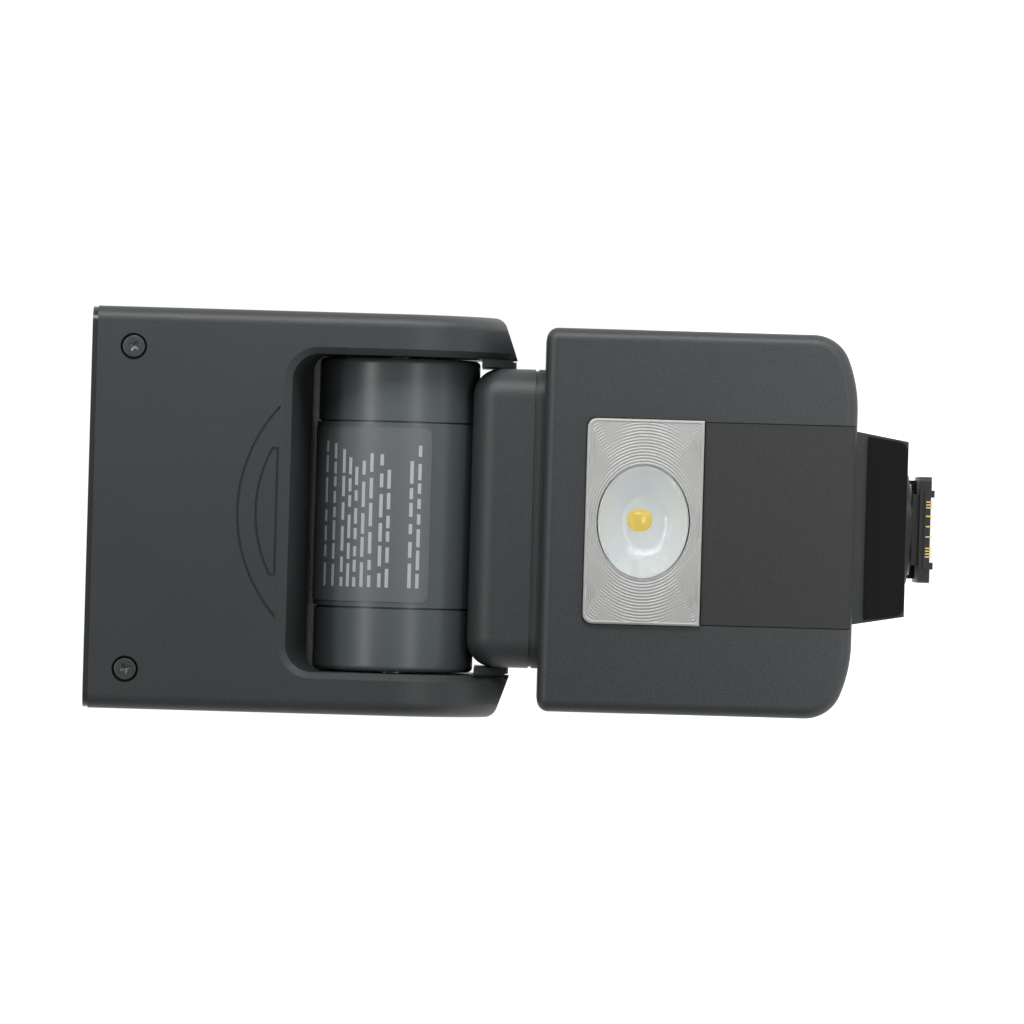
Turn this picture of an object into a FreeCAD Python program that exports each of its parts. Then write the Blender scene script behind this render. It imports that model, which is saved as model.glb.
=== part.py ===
import os
import re

import FreeCAD
import Part
import Sketcher

# A compact speedlight flash: casing on a hot-shoe foot, neck that swivels, head that tilts.
# +Z runs from the foot to the head, the side with the LED light faces -Y, and the origin lies
# under the middle of the foot. All sizes are in millimetres.

SIZES = {
    # fits and walls
    "fit": 0.05,
    "gap": 0.4,
    "wall": 2.0,
    "small_round": 0.9,
    # lower casing
    "case_half": 33.2,
    "case_front": -26.0,
    "case_split": -14.0,
    "case_back": 26.5,
    "case_floor": 14.5,
    "case_top": 68.6,
    "case_edge": 2.0,
    "corner_rise": 3.34,
    "corner_run": 8.67,
    "corner_side_round": 6.6,
    "corner_floor_round": 24.0,
    "core_corner": 7.0,
    "slope_start": 6.0,
    "slope_end": 20.5,
    "slope_drop": 2.2,
    "rear_slope_foot": 56.0,
    # pivots
    "pivot_y": -8.9,
    "pivot_z": 94.0,
    # light window and lower panel on the front
    "lamp_half": 17.9,
    "lamp_low": 40.8,
    "lamp_high": 61.3,
    "lamp_deep": 1.2,
    "lamp_proud": 0.8,
    "lamp_corner": 1.6,
    "seam": 0.2,
    "lens_z": 51.1,
    "lens_half_x": 9.85,
    "lens_half_z": 8.0,
    "bowl_front": -24.7,
    "bowl_deep": 5.0,
    "bowl_narrows": 4.2,
    "bowl_half": 11.2,
    "bowl_half_z": 8.6,
    "chip_half": 2.0,
    "panel_half": 17.6,
    "panel_deep": 1.0,
    "panel_proud": 0.15,
    # foot housing and foot
    "chin_top_half": 16.8,
    "chin_low_half": 15.2,
    "chin_front": -19.5,
    "chin_back": 13.6,
    "chin_floor": 5.3,
    "chin_round": 3.0,
    "chin_wall": 1.5,
    "rail_half": 9.3,
    "rail_low": 0.5,
    "rail_high": 2.5,
    "rail_neck": 6.25,
    "stop_half": 8.7,
    "stop_top": 3.7,
    "post_round": 8.0,
    "ring_round": 9.55,
    "ring_low": 4.2,
    "ring_high": 5.0,
    "tongue_half": 6.9,
    "tongue_front": -9.7,
    "tongue_back": 3.0,
    "tongue_low": 0.0,
    "tongue_floor": 0.6,
    "tongue_rib": 1.2,
    "blade_half": 0.11,
    "tongue_top": 1.7,
    "lock_y": -6.5,
    "lock_round": 0.9,
    "lock_low": 0.8,
    "lock_high": 8.6,
    # battery bay
    "cell_round": 7.0,
    "cell_pitch": 14.4,
    "cell_start": -24.6,
    "cell_end": 24.4,
    "bay_y": 2.6,
    "bay_z": 35.0,
    "bay_half": 15.2,
    "bay_wall": 0.8,
    "bay_closed": -29.3,
    "bay_mouth": 29.0,
    # battery door
    "door_y": 18.9,
    "door_x": 31.9,
    "door_barrel": 1.25,
    "door_pin": 0.75,
    "door_low": 20.8,
    "door_high": 49.6,
    "door_front": -11.8,
    "door_thick": 1.8,
    "ridge_proud": 0.2,
    # rear controls
    "screen_half": 20.0,
    "screen_low": 36.5,
    "screen_high": 54.0,
    "wheel_z": 23.2,
    "wheel_round": 6.2,
    "wheel_hub": 4.0,
    "button_z": 32.5,
    "button_half_x": 4.3,
    "button_half_z": 1.5,
    "button_proud": 0.6,
    "rear_inside": 24.5,
    "flange_back": 24.1,
    "flange_front": 23.1,
    "test_x": -19.0,
    "test_round": 2.6,
    "switch_low_x": 14.6,
    "switch_high_x": 19.2,
    "switch_travel": 5.0,
    "switch_half_z": 1.6,
    # collar and neck
    "block_half": 25.95,
    "block_deep": 14.0,
    "block_round": 5.0,
    "block_low": 70.3,
    "block_high": 81.0,
    "collar_high": 69.75,
    "step_inset": 0.25,
    "step_fit": 0.03,
    "tube_round": 7.5,
    "tube_bore": 4.5,
    "tube_low": 61.5,
    "keeper_round": 9.5,
    "keeper_high": 66.2,
    "drum_round": 14.2,
    "drum_bore": 12.4,
    "drum_half": 16.0,
    "sleeve_round": 14.0,
    "sleeve_half": 27.2,
    "seam_wide": 0.3,
    "seam_deep": 0.5,
    "shaft_round": 4.0,
    "shaft_bore": 2.2,
    "shaft_end": 31.4,
    # head
    "head_half": 34.7,
    "head_deep": 20.5,
    "head_end": 146.0,
    "head_edge": 2.4,
    "tip_rise": 3.0,
    "fork_half": 27.5,
    "lip_round": 20.3,
    "lip_gap": 0.15,
    "lip_line": 0.3,
    "fork_lip": 1.1,
    "fork_round": 4.7,
    "fork_front_rise": 18.4,
    "fork_root_rise": 15.3,
    "fork_back_rise": 10.0,
    "drum_clear": 15.2,
    "hollow_half": 32.5,
    "hollow_deep": 18.5,
    "hollow_low": 114.4,
    "hollow_round": 3.0,
    "groove_round": 27.3,
    "groove_inner": 24.15,
    "crescent_half": 11.1,
    "crescent_end": 1.3,
    "groove_wide": 0.45,
    "groove_deep": 0.35,
    "groove_base": 114.2,
    "screw_x": 27.8,
    "screw_z": 139.7,
    "screw_sink": 2.3,
    "screw_head": 2.05,
    "screw_shank": 1.1,
    "bezel_low": 143.4,
    "bezel_high": 146.9,
    "window_half": 30.6,
    "bezel_step": 0.15,
    "window_deep": 13.0,
    "slot_low": 14.6,
    "slot_high": 18.0,
    "slot_half": 26.0,
    # zoom unit and pull-out panels
    "plate_low": 120.4,
    "plate_high": 121.8,
    "mirror_half": 23.5,
    "mirror_deep": 10.5,
    "mirror_high": 132.5,
    "tube_radius": 1.6,
    "screw_axis_x": 29.0,
    "screw_axis_y": -16.0,
    "lead_round": 1.25,
    "lead_high": 137.4,
    "rod_round": 1.0,
    "motor_round": 3.4,
    "motor_low": 115.2,
    "sheet_half": 25.0,
    "sheet_low": 117.0,
    "sheet_high": 146.6,
}

doc = FreeCAD.newDocument("speedlight_flash")
sheet = doc.addObject("Spreadsheet::Sheet", "sizes")
for row, (alias, value) in enumerate(SIZES.items(), start=1):
    sheet.set(f"A{row}", alias.replace("_", " "))
    sheet.set(f"B{row}", str(value))
    sheet.setAlias(f"B{row}", alias)
doc.recompute()

Vector = FreeCAD.Vector
TURN_TO = {
    "x": FreeCAD.Rotation(Vector(0, 1, 0), 90),
    "y": FreeCAD.Rotation(Vector(1, 0, 0), -90),
    "z": FreeCAD.Rotation(),
}
OTHER_AXES = {"x": "yz", "y": "xz", "z": "xy"}
parts = {}


def bind(made, prop, expression):
    """Tie a property to the sheet; the expression names cells by their aliases."""
    text = re.sub(r"[a-z][a-z_]+", lambda word: "sizes." + word.group(0), str(expression))
    made.setExpression(prop, text)


def box(name, x, y, z):
    """A box between two expressions on each axis."""
    made = doc.addObject("Part::Box", name)
    for prop, axis, (low, high) in (("Length", "x", x), ("Width", "y", y), ("Height", "z", z)):
        bind(made, prop, f"({high}) - ({low})")
        bind(made, f"Placement.Base.{axis}", low)
    return made


def both(half):
    """The span from -half to +half."""
    return f"-({half})", half


def round_at(centre, half):
    """The span of the given half width about a centre."""
    return f"{centre} - ({half})", f"{centre} + ({half})"


def rod(name, axis, radius, ends, centre=("0", "0")):
    """A cylinder along one axis between two ends; centre gives its other two coordinates."""
    made = doc.addObject("Part::Cylinder", name)
    made.Placement = FreeCAD.Placement(Vector(), TURN_TO[axis])
    bind(made, "Radius", radius)
    bind(made, "Height", f"({ends[1]}) - ({ends[0]})")
    bind(made, f"Placement.Base.{axis}", ends[0])
    for other, place in zip(OTHER_AXES[axis], centre):
        bind(made, f"Placement.Base.{other}", place)
    return made


def fuse(name, *pieces):
    """One solid from several that touch or overlap."""
    made = doc.addObject("Part::MultiFuse", name)
    made.Shapes = list(pieces)
    made.Refine = True
    return made


def bundle(name, *pieces):
    """Separate solids that share one node."""
    made = doc.addObject("Part::Compound", name)
    made.Links = list(pieces)
    return made


def cut(name, base, *tools):
    """A base with the tools taken away."""
    made = doc.addObject("Part::Cut", name)
    made.Base = base
    made.Tool = tools[0] if len(tools) == 1 else bundle(name + "_tools", *tools)
    return made


def common(name, base, tool):
    """What two solids share."""
    made = doc.addObject("Part::MultiCommon", name)
    made.Shapes = [base, tool]
    return made


def with_twin(name, piece):
    """A piece and its mirror image across the middle plane, as one node of two solids."""
    twin = doc.addObject("Part::Mirroring", name + "_twin")
    twin.Source = piece
    twin.Normal = Vector(1, 0, 0)
    return bundle(name, piece, twin)


def rounded(name, base, radius, pick, kind="Part::Fillet"):
    """A base with the picked edges rounded, or bevelled, by a size from the sheet."""
    doc.recompute()
    edges = [place for place, edge in enumerate(base.Shape.Edges, start=1) if pick(edge)]
    made = doc.addObject(kind, name)
    made.Base = base
    made.Edges = [(place, SIZES[radius], SIZES[radius]) for place in edges]
    return made


def runs_along(edge, axis):
    """True for a straight edge parallel to an axis."""
    if edge.Curve.TypeId != "Part::GeomLine":
        return False
    return abs(abs(getattr(edge.tangentAt(edge.FirstParameter), axis)) - 1) < 1e-6


def middle(edge):
    return edge.CenterOfMass


def finish(name, made):
    """Give a piece the name of its node."""
    made.Label = name
    parts[name] = made
    return made


def origin_plane(body, role):
    return next(plane for plane in body.Origin.OriginFeatures if plane.Role == role)


def outline(body, name, role, points):
    """A closed sketch of straight runs, each corner placed by two dimensions from the sheet."""
    sketch = body.newObject("Sketcher::SketchObject", name)
    sketch.AttachmentSupport = [(origin_plane(body, role), "")]
    sketch.MapMode = "FlatFace"
    doc.recompute()
    rough = [Vector(index, index % 3, 0) for index in range(len(points))]
    for index in range(len(points)):
        after = (index + 1) % len(points)
        sketch.addGeometry(Part.LineSegment(rough[index], rough[after]), False)
    for index, (across, up) in enumerate(points):
        after = (index + 1) % len(points)
        sketch.addConstraint(Sketcher.Constraint("Coincident", index, 2, after, 1))
        for kind, expression in (("DistanceX", across), ("DistanceY", up)):
            place = sketch.addConstraint(Sketcher.Constraint(kind, -1, 1, index, 1, 1.0))
            bind(sketch, f"Constraints[{place}]", expression)
    return sketch


def prism(name, role, points, length, start=None):
    """A PartDesign body: an outline padded to a length, both ways unless start is given."""
    body = doc.addObject("PartDesign::Body", name)
    sketch = outline(body, name + "_outline", role, points)
    if start is not None:
        bind(sketch, "AttachmentOffset.Base.z", start)
    pad = body.newObject("PartDesign::Pad", name + "_pad")
    pad.Profile = sketch
    bind(pad, "Length", length)
    pad.Midplane = start is None
    doc.recompute()
    return body


def round_edges(body, name, radius, pick):
    """A fillet feature on the picked edges of a PartDesign body."""
    doc.recompute()
    base = body.Tip
    edges = [f"Edge{place}" for place, edge in enumerate(base.Shape.Edges, start=1) if pick(edge)]
    fillet = body.newObject("PartDesign::Fillet", name)
    fillet.Base = (base, edges)
    bind(fillet, "Radius", radius)
    doc.recompute()


# ---- lower casing ----------------------------------------------------------------------------

def casing_form():
    """The outer shape of the lower casing: oval lower corners and a back that leans forward."""
    form = prism("casing_form", "XZ_Plane", [
        ("-case_half + corner_run", "case_floor"),
        ("case_half - corner_run", "case_floor"),
        ("case_half", "case_floor + corner_rise"),
        ("case_half", "case_top"),
        ("-case_half", "case_top"),
        ("-case_half", "case_floor + corner_rise"),
    ], "case_back - case_front", "-case_back")
    half, floor = SIZES["case_half"], SIZES["case_floor"]
    low_side = floor + SIZES["corner_rise"] + 1
    round_edges(form, "side_rounds", "corner_side_round", lambda edge: (
        runs_along(edge, "y") and abs(middle(edge).x) > half - 0.1 and middle(edge).z < low_side))
    round_edges(form, "floor_rounds", "corner_floor_round", lambda edge: (
        runs_along(edge, "y") and abs(middle(edge).z - floor) < 0.1 and abs(middle(edge).x) > half / 2))
    slope = prism("back_slope", "YZ_Plane", [
        ("slope_start", "case_top"),
        ("slope_end", "case_top - slope_drop"),
        ("case_back", "rear_slope_foot"),
        ("case_back + wall", "rear_slope_foot"),
        ("case_back + wall", "case_top + wall"),
        ("slope_start", "case_top + wall"),
    ], "3 * case_half")
    sloped = cut("casing_sloped", form, slope)
    front, back, top = SIZES["case_front"], SIZES["case_back"], SIZES["case_top"]
    return rounded("casing_outside", sloped, "case_edge", lambda edge: (
        abs(middle(edge).y - front) < 0.1 or abs(middle(edge).y - back) < 0.1
        or (abs(middle(edge).x) > half - 0.1 and middle(edge).z > SIZES["rear_slope_foot"]
            and abs(middle(edge).z - (floor + top) / 2) > 5)))


def casing_core():
    """The hollow of the lower casing, in three steps under the sloping back."""
    across = both("case_half - wall")
    low = box("core_low", across, ("case_front + wall", "rear_inside"),
              ("case_floor + wall", "rear_slope_foot - 3"))
    low_round = rounded("core_low_round", low, "core_corner", lambda edge: (
        runs_along(edge, "y") and middle(edge).z < SIZES["case_floor"] + 3))
    high_front = box("core_high_front", across, ("case_front + wall", "slope_start - 1"),
                     ("rear_slope_foot - 4", "case_top - wall"))
    high_back = box("core_high_back", across, ("slope_start - 2", "slope_end - 1.5"),
                    ("rear_slope_foot - 4", "case_top - slope_drop - wall - 0.5"))
    return fuse("casing_hollow", low_round, high_front, high_back)


def lamp_recess():
    """The seat of the light window and the opening behind it."""
    seat = box("lamp_seat", both("lamp_half"), ("case_front - wall", "case_front + lamp_deep"),
               ("lamp_low", "lamp_high"))
    opening = box("lamp_opening", both("lamp_half - 1.5"), ("case_front - wall", "case_front + 2 * wall"),
                  ("lamp_low + 1.5", "lamp_high - 1.5"))
    seat_round = rounded("lamp_seat_round", seat, "lamp_corner", lambda edge: (
        runs_along(edge, "y") and middle(edge).z > SIZES["lamp_high"] - 1))
    return fuse("lamp_recess", seat_round, opening)


def rear_openings():
    """Holes in the rear casing for the screen, the wheel, the buttons and the switch."""
    through = ("rear_inside - wall", "case_back + wall")
    across_z = round_at("button_z", "button_half_z + gap")
    tools = [
        box("screen_seat", both("screen_half"), ("case_back - 1", "case_back + wall"),
            ("screen_low", "screen_high")),
        box("screen_hole", both("screen_half - 1.5"), through, ("screen_low + 1.5", "screen_high - 1.5")),
        rod("wheel_seat", "y", "wheel_round + gap", ("case_back - 0.8", "case_back + wall"),
            ("0", "wheel_z")),
        rod("wheel_bore", "y", "wheel_hub + fit", through, ("0", "wheel_z")),
        rod("test_hole", "y", "test_round + gap", through, ("test_x", "wheel_z")),
        box("switch_slot", ("switch_low_x - gap", "switch_high_x + switch_travel + gap"), through,
            round_at("wheel_z", "switch_half_z + gap")),
    ]
    for place, centre in enumerate(BUTTON_PLACES, start=1):
        tools.append(box(f"button_hole_{place}",
                         round_at(centre, "button_half_x + gap"), through, across_z))
    return tools


BUTTON_PLACES = ("-19.5", "-6.5", "6.5", "19.5")

outside = casing_form()
hollow = casing_core()
neck_opening = rod("neck_opening", "z", "tube_round + 0.5", ("case_top - 2 * wall", "case_top + wall"),
                   ("0", "pivot_y"))
cable_opening = box("cable_opening", both("12"), ("chin_front + 4", "10"),
                    ("case_floor - wall", "case_floor + 2 * wall"))
panel_seat = box("panel_seat", both("panel_half"), ("case_front - wall", "case_front + panel_deep"),
                 ("case_floor + 0.4", "lamp_low + seam / 4"))
door_opening = box("door_opening", ("case_half - 2 * wall", "case_half + wall"),
                   ("door_front - 0.3", "door_y + 1.95"), ("door_low - 0.3", "door_high + 0.3"))
door_pin_seat = rod("door_pin_seat", "z", "door_pin", ("door_low - 1.8", "door_high + 1.8"),
                    ("door_x", "door_y"))
shell = cut("casing_shell", outside, hollow, neck_opening, cable_opening)
front_space = box("front_space", both("2 * case_half"), ("2 * case_front", "case_split"),
                  ("0", "2 * case_top"))
rear_space = box("rear_space", both("2 * case_half"), ("case_split", "2 * case_back"),
                 ("0", "2 * case_top"))
front_half = common("front_half", shell, front_space)
rear_half = common("rear_half", shell, rear_space)
finish("front_casing", cut("front_casing", front_half, lamp_recess(), panel_seat))
finish("rear_casing", cut("rear_casing", rear_half, door_opening, door_pin_seat, *rear_openings()))

finish("front_panel", box("front_panel", both("panel_half - 0.15"),
                          ("case_front - panel_proud", "case_front + panel_deep"),
                          ("case_floor + 0.5", "lamp_low - seam / 4")))


# ---- light on the front ----------------------------------------------------------------------

def oval(name, half_x, half_z, place_y):
    """An elliptical ring about the lens axis at one Y."""
    ring = doc.addObject("Part::Ellipse", name)
    ring.Placement = FreeCAD.Placement(Vector(), FreeCAD.Rotation(Vector(1, 0, 0), 90))
    bind(ring, "MajorRadius", half_x)
    bind(ring, "MinorRadius", half_z)
    bind(ring, "Placement.Base.y", place_y)
    bind(ring, "Placement.Base.z", "lens_z")
    return ring


window_plate = box("lamp_plate", both("lamp_half - 0.15"),
                   ("case_front - lamp_proud", "case_front + lamp_deep"),
                   ("lamp_low + 0.15", "lamp_high - 0.15"))
window_round = rounded("lamp_plate_round", window_plate, "lamp_corner", lambda edge: (
    runs_along(edge, "y") and middle(edge).z > SIZES["lamp_high"] - 1))
finish("led_window", window_round)
bowl_block = box("bowl_block", both("bowl_half"), ("bowl_front", "bowl_front + bowl_deep"),
                 ("lens_z - bowl_half_z", "lens_z + bowl_half_z"))
bowl_plug = doc.addObject("Part::Loft", "bowl_plug")
bowl_plug.Sections = [
    oval("bowl_mouth", "lens_half_x", "lens_half_z", "bowl_front - 0.5"),
    oval("bowl_throat", "lens_half_x - bowl_narrows", "lens_half_z - bowl_narrows",
         "bowl_front + bowl_deep + 0.5"),
]
bowl_plug.Solid = True
bowl_plug.Ruled = True
finish("led_reflector", cut("led_reflector", bowl_block, bowl_plug))
lamp_board = box("lamp_board", both("bowl_half"),
                 ("bowl_front + bowl_deep", "bowl_front + bowl_deep + 1.2"),
                 ("lens_z - 9", "lens_z + 9"))
finish("led_board", lamp_board)
chip = box("chip", both("chip_half"), ("bowl_front + bowl_deep - 0.9", "bowl_front + bowl_deep"),
           round_at("lens_z", "chip_half"))
finish("led_chip", chip)
sink_plate = box("sink_plate", both("bowl_half"),
                 ("bowl_front + bowl_deep + 1.2", "bowl_front + bowl_deep + 2.4"),
                 ("lens_z - 8", "lens_z + 8"))
fins = [box(f"sink_fin_{count}", round_at(f"{place}", "0.5"),
            ("bowl_front + bowl_deep + 2.4", "bowl_front + bowl_deep + 5"), ("lens_z - 8", "lens_z + 8"))
        for count, place in enumerate((-10.7, -7.1, -3.5, 0.1, 3.7, 7.3, 10.7), start=1)]
finish("led_heatsink", fuse("led_heatsink", sink_plate, *fins))


# ---- foot housing and foot -------------------------------------------------------------------

def trapezoid(name, half_top, half_low, low, high, front, back):
    """A block that narrows downwards, from one Y to another."""
    return prism(name, "XZ_Plane", [
        (f"-({half_low})", low),
        (half_low, low),
        (half_top, high),
        (f"-({half_top})", high),
    ], f"({back}) - ({front})", f"-({back})")


chin_form = trapezoid("chin_form", "chin_top_half", "chin_low_half", "chin_floor", "case_floor",
                      "chin_front", "chin_back")
round_edges(chin_form, "chin_rear_rounds", "chin_round", lambda edge: (
    middle(edge).y > SIZES["chin_back"] - 0.1 and abs(middle(edge).x) > SIZES["chin_low_half"]
    and SIZES["chin_floor"] + 1 < middle(edge).z < SIZES["case_floor"] - 1))
chin_hollow = box("chin_hollow", both("chin_low_half - chin_wall"),
                  ("chin_front + chin_wall", "chin_back - chin_wall"),
                  ("chin_floor + chin_wall", "case_floor + 1"))
FOOT_SCREWS = (("5", "4.6"), ("-5", "4.6"), ("5", "-4.6"), ("-5", "-4.6"))


def foot_bores(name, radius, low, high):
    """The four upright screw holes of the foot."""
    return [rod(f"{name}_{count}", "z", radius, (low, high), centre)
            for count, centre in enumerate(FOOT_SCREWS, start=1)]


lock_way = rod("lock_way", "z", "lock_round + 0.4", ("chin_floor - 1", "chin_floor + 2"), ("0", "lock_y"))
finish("chin_casing", cut("chin_casing", chin_form, chin_hollow, lock_way,
                          *foot_bores("chin_bore", "0.8", "chin_floor - 1", "chin_floor + 2")))

sensor_form = trapezoid("sensor_form", "chin_top_half - 0.9", "chin_low_half - 0.3", "chin_floor + 0.2",
                        "case_floor - 2.3", "chin_front - 1.4", "chin_front")
round_edges(sensor_form, "sensor_rounds", "lamp_corner", lambda edge: (
    runs_along(edge, "y") and middle(edge).z < SIZES["chin_floor"] + 1))
finish("sensor_window", sensor_form)
finish("sensor_board", box("sensor_board", both("11"), ("chin_front + 2.2", "chin_front + 3.4"),
                           ("chin_floor + 1.9", "case_floor - 0.5")))

rail_plate = box("rail_plate", both("rail_half"), both("rail_half"), ("rail_low", "rail_high"))
rail_plate_round = rounded("rail_plate_round", rail_plate, "small_round",
                           lambda edge: runs_along(edge, "z"))
rail_neck = box("rail_neck", both("rail_neck"), ("1.3 - rail_half", "rail_half"), ("rail_high", "stop_top"))
rail_stop = box("rail_stop", both("stop_half"), ("6.9", "rail_half + 0.3"), ("rail_high", "stop_top"))
rail_post = rod("rail_post", "z", "post_round", ("stop_top", "chin_floor"))
rail_solid = fuse("rail_solid", rail_plate_round, rail_neck, rail_stop, rail_post)
tongue_seat = box("tongue_seat", both("tongue_half"), ("tongue_front - 1", "tongue_back"),
                  ("rail_low - 1", "tongue_top"))
lock_bore = rod("lock_bore", "z", "lock_round + fit", ("rail_low", "chin_floor + 1"), ("0", "lock_y"))
finish("foot_rail", cut("foot_rail", rail_solid, tongue_seat, lock_bore,
                        *foot_bores("rail_bore", "0.75", "rail_high", "chin_floor + 1")))

BLADES = ("4.9", "4.4", "3.9", "2.4", "0.6", "-1.2", "-3.2", "-3.7", "-4.2", "-4.7")
tongue = box("tongue", both("tongue_half"), ("tongue_front", "tongue_back"), ("tongue_low", "tongue_top"))
tongue_face = box("tongue_face", both("tongue_half - tongue_rib"), ("tongue_front - 1", "tongue_back + 1"),
                  ("tongue_low - 1", "tongue_floor"))
centre_pin = ("1.25", ("tongue_low + 0.3", "tongue_top"), ("0", "0"))
tongue_holes = [
    rod("tongue_lock_hole", "z", "lock_round + 0.4", ("tongue_low - 1", "tongue_top + 1"), ("0", "lock_y")),
    rod("centre_hole", "z", *centre_pin),
]
blades = [rod("centre_pin", "z", *centre_pin)]
for count, across in enumerate(BLADES, start=1):
    for group, name in ((tongue_holes, "blade_slot"), (blades, "blade")):
        group.append(box(f"{name}_{count}", round_at(across, "blade_half"),
                         ("tongue_front - 0.05", "tongue_front + 1.1"),
                         ("tongue_low + 0.3", "tongue_top - 0.3")))
finish("contact_block", cut("contact_block", tongue, tongue_face, *tongue_holes))
finish("contact_pins", bundle("contact_pins", *blades))

screws = []
for count, centre in enumerate(FOOT_SCREWS, start=1):
    shank = rod(f"foot_shank_{count}", "z", "0.75", ("rail_high", "chin_floor + chin_wall"), centre)
    head = rod(f"foot_head_{count}", "z", "1.4", ("chin_floor + chin_wall", "chin_floor + chin_wall + 1"),
               centre)
    screws.append(fuse(f"foot_screw_{count}", shank, head))
finish("foot_screws", bundle("foot_screws", *screws))

lever_ring = rod("lever_ring", "z", "ring_round", ("ring_low", "ring_high"))
lever_arm = box("lever_arm", both("3.2"), ("post_round + 1", "20.4"), ("ring_low", "ring_high"))
lever_thumb = box("lever_thumb", both("5.5"), ("19.9", "23.4"), ("ring_low", "ring_low + 6"))
thumb_round = rounded("thumb_round", lever_thumb, "small_round", lambda edge: runs_along(edge, "z"))
lever_solid = fuse("lever_solid", lever_ring, lever_arm, thumb_round)
lever_bore = rod("lever_bore", "z", "post_round + fit", ("ring_low - 1", "ring_high + 1"))
finish("foot_lock_lever", cut("foot_lock_lever", lever_solid, lever_bore))
finish("foot_lock_pin", rod("foot_lock_pin", "z", "lock_round", ("lock_low", "lock_high"), ("0", "lock_y")))


# ---- battery bay -----------------------------------------------------------------------------

def cell_axes():
    """The four cell axes, as Y and Z expressions."""
    return [(f"bay_y + {y_side} * cell_pitch / 2", f"bay_z + {z_side} * cell_pitch / 2")
            for y_side in (-1, 1) for z_side in (-1, 1)]


tray_outside = box("tray_outside", ("bay_closed", "bay_mouth"), round_at("bay_y", "bay_half"),
                   round_at("bay_z", "bay_half"))
tray_inside = box("tray_inside", ("bay_closed + 1", "bay_mouth + 1"),
                  round_at("bay_y", "bay_half - bay_wall"), round_at("bay_z", "bay_half - bay_wall"))
finish("battery_tray", cut("battery_tray", tray_outside, tray_inside))
cells = []
springs = []
for count, axis in enumerate(cell_axes(), start=1):
    can = rod(f"cell_can_{count}", "x", "cell_round", ("cell_start", "cell_end"), axis)
    nub = rod(f"cell_nub_{count}", "x", "2.7", ("cell_end", "cell_end + 1.2"), axis)
    cells.append(fuse(f"cell_{count}", can, nub))
    coil = doc.addObject("Part::Cone", f"spring_{count}")
    coil.Placement = FreeCAD.Placement(Vector(), TURN_TO["x"])
    bind(coil, "Radius1", "5")
    bind(coil, "Radius2", "2.5")
    bind(coil, "Height", "cell_start - bay_closed - 1")
    bind(coil, "Placement.Base.x", "bay_closed + 1")
    bind(coil, "Placement.Base.y", axis[0])
    bind(coil, "Placement.Base.z", axis[1])
    springs.append(coil)
finish("aa_cells", bundle("aa_cells", *cells))
finish("battery_contacts", bundle("battery_contacts", *springs))

door_plate = box("door_plate", ("case_half - door_thick", "case_half"), ("door_front", "door_y - 1.5"),
                 ("door_low", "door_high"))
door_leaf = box("door_leaf", ("case_half - door_thick", "door_x"), ("door_y - 2", "door_y"),
                ("door_low", "door_high"))
door_barrel = rod("door_barrel", "z", "door_barrel", ("door_low", "door_high"), ("door_x", "door_y"))
ridges = [box(f"door_ridge_{count}", ("case_half", "case_half + ridge_proud"),
              (f"door_front + {1.6 + 1.5 * count}", f"door_front + {2.2 + 1.5 * count}"),
              round_at("bay_z", "6")) for count in range(4)]
door_solid = fuse("door_solid", door_plate, door_leaf, door_barrel, *ridges)
door_bore = rod("door_bore", "z", "door_pin + fit", ("door_low - 1", "door_high + 1"), ("door_x", "door_y"))
finish("battery_door", cut("battery_door", door_solid, door_bore))
bridges = []
for side in (-1, 1):
    bridge = box(f"bridge_{side + 1}", ("cell_end + 1.6", "cell_end + 2.1"),
                 round_at(f"bay_y + {side} * cell_pitch / 2", "3.4"), round_at("bay_z", "11"))
    stems = [rod(f"bridge_stem_{side + 1}_{up + 1}", "x", "1.5",
                 ("cell_end + 2.1", "case_half - door_thick"),
                 (f"bay_y + {side} * cell_pitch / 2", f"bay_z + {up} * cell_pitch / 2")) for up in (-1, 1)]
    bridges.append(fuse(f"door_contact_{side + 1}", bridge, *stems))
finish("door_contacts", bundle("door_contacts", *bridges))
finish("door_hinge_pin", rod("door_hinge_pin", "z", "door_pin", ("door_low - 1.8", "door_high + 1.8"),
                             ("door_x", "door_y")))


# ---- boards and the parts on the back --------------------------------------------------------

finish("main_capacitor", rod("main_capacitor", "x", "6.3", both("27"), ("8.4", "bay_z + bay_half + 6.6")))
finish("main_board", box("main_board", both("28"), ("-17.2", "-15.8"), ("24.5", "42")))
finish("control_board", box("control_board", both("28"), ("19.3", "20.7"), ("24.5", "53")))
finish("lcd_module", box("lcd_module", both("21.5"), ("21.3", "24.4"), ("36", "52.8")))
finish("lcd_window", box("lcd_window", both("screen_half - 0.15"), ("case_back - 1", "case_back + 0.1"),
                         ("screen_low + 0.15", "screen_high - 0.15")))

wheel_disc = rod("wheel_disc", "y", "wheel_round", ("case_back - 0.4", "case_back + 0.9"), ("0", "wheel_z"))
wheel_hub = rod("wheel_hub", "y", "wheel_hub", ("flange_front", "case_back"), ("0", "wheel_z"))
wheel_flange = rod("wheel_flange", "y", "wheel_hub + 1.2", ("flange_front", "flange_back"),
                   ("0", "wheel_z"))
wheel_solid = fuse("wheel_solid", wheel_disc, wheel_hub, wheel_flange)
wheel_hole = rod("wheel_hole", "y", "wheel_hub - 1", ("0", "2 * case_back"), ("0", "wheel_z"))
finish("control_wheel", cut("control_wheel", wheel_solid, wheel_hole))
finish("centre_button",
       rod("centre_button", "y", "wheel_hub - 1.3", ("flange_front - 0.6", "case_back + 1.3"),
                            ("0", "wheel_z")))

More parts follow.
